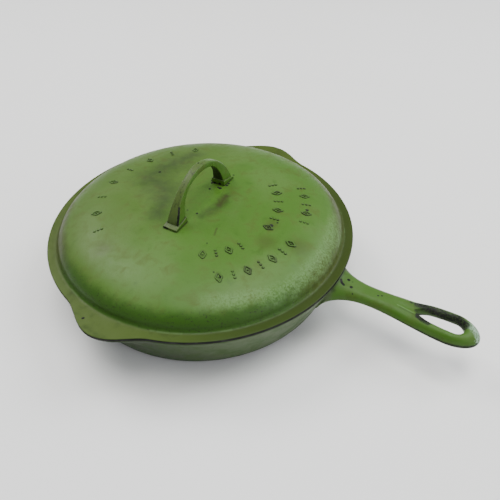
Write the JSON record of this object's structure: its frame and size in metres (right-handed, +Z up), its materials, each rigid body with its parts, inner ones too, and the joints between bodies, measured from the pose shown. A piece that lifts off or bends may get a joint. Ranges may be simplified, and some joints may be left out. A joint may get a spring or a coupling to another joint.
{
  "type": "covered skillet",
  "caption": "Round cast-iron skillet, painted outside, with pour spouts, a long handle with a hanging hole, and a domed lift-off basting cover with a strap handle.",
  "frame": {"origin": "centre of the pan's flat base, on the surface that it stands on", "axes": "+Z up, +X along the pan handle from the bowl's centre to the handle's tip, and the two pour spouts point to +Y and -Y"},
  "size_m": [0.4238, 0.3266, 0.125],
  "materials": {
    "pan_casting": "worn green enamel paint on cast iron outside, bare iron round the hanging hole, dark seasoned iron inside",
    "cover_casting": "worn satin green enamel paint on cast iron outside, dark seasoned iron inside"
  },
  "bodies": {
    "skillet": {"pan_bowl": "pan_casting", "pan_handle": "pan_casting"},
    "cover": {"cover_dome": "cover_casting", "cover_handle": "cover_casting"}
  },
  "joints": [
    {"name": "lid_lift", "type": "slide", "parent": "skillet", "child": "cover", "axis": [0, 0, 1], "range_m": [0, 0.15]}
  ]
}
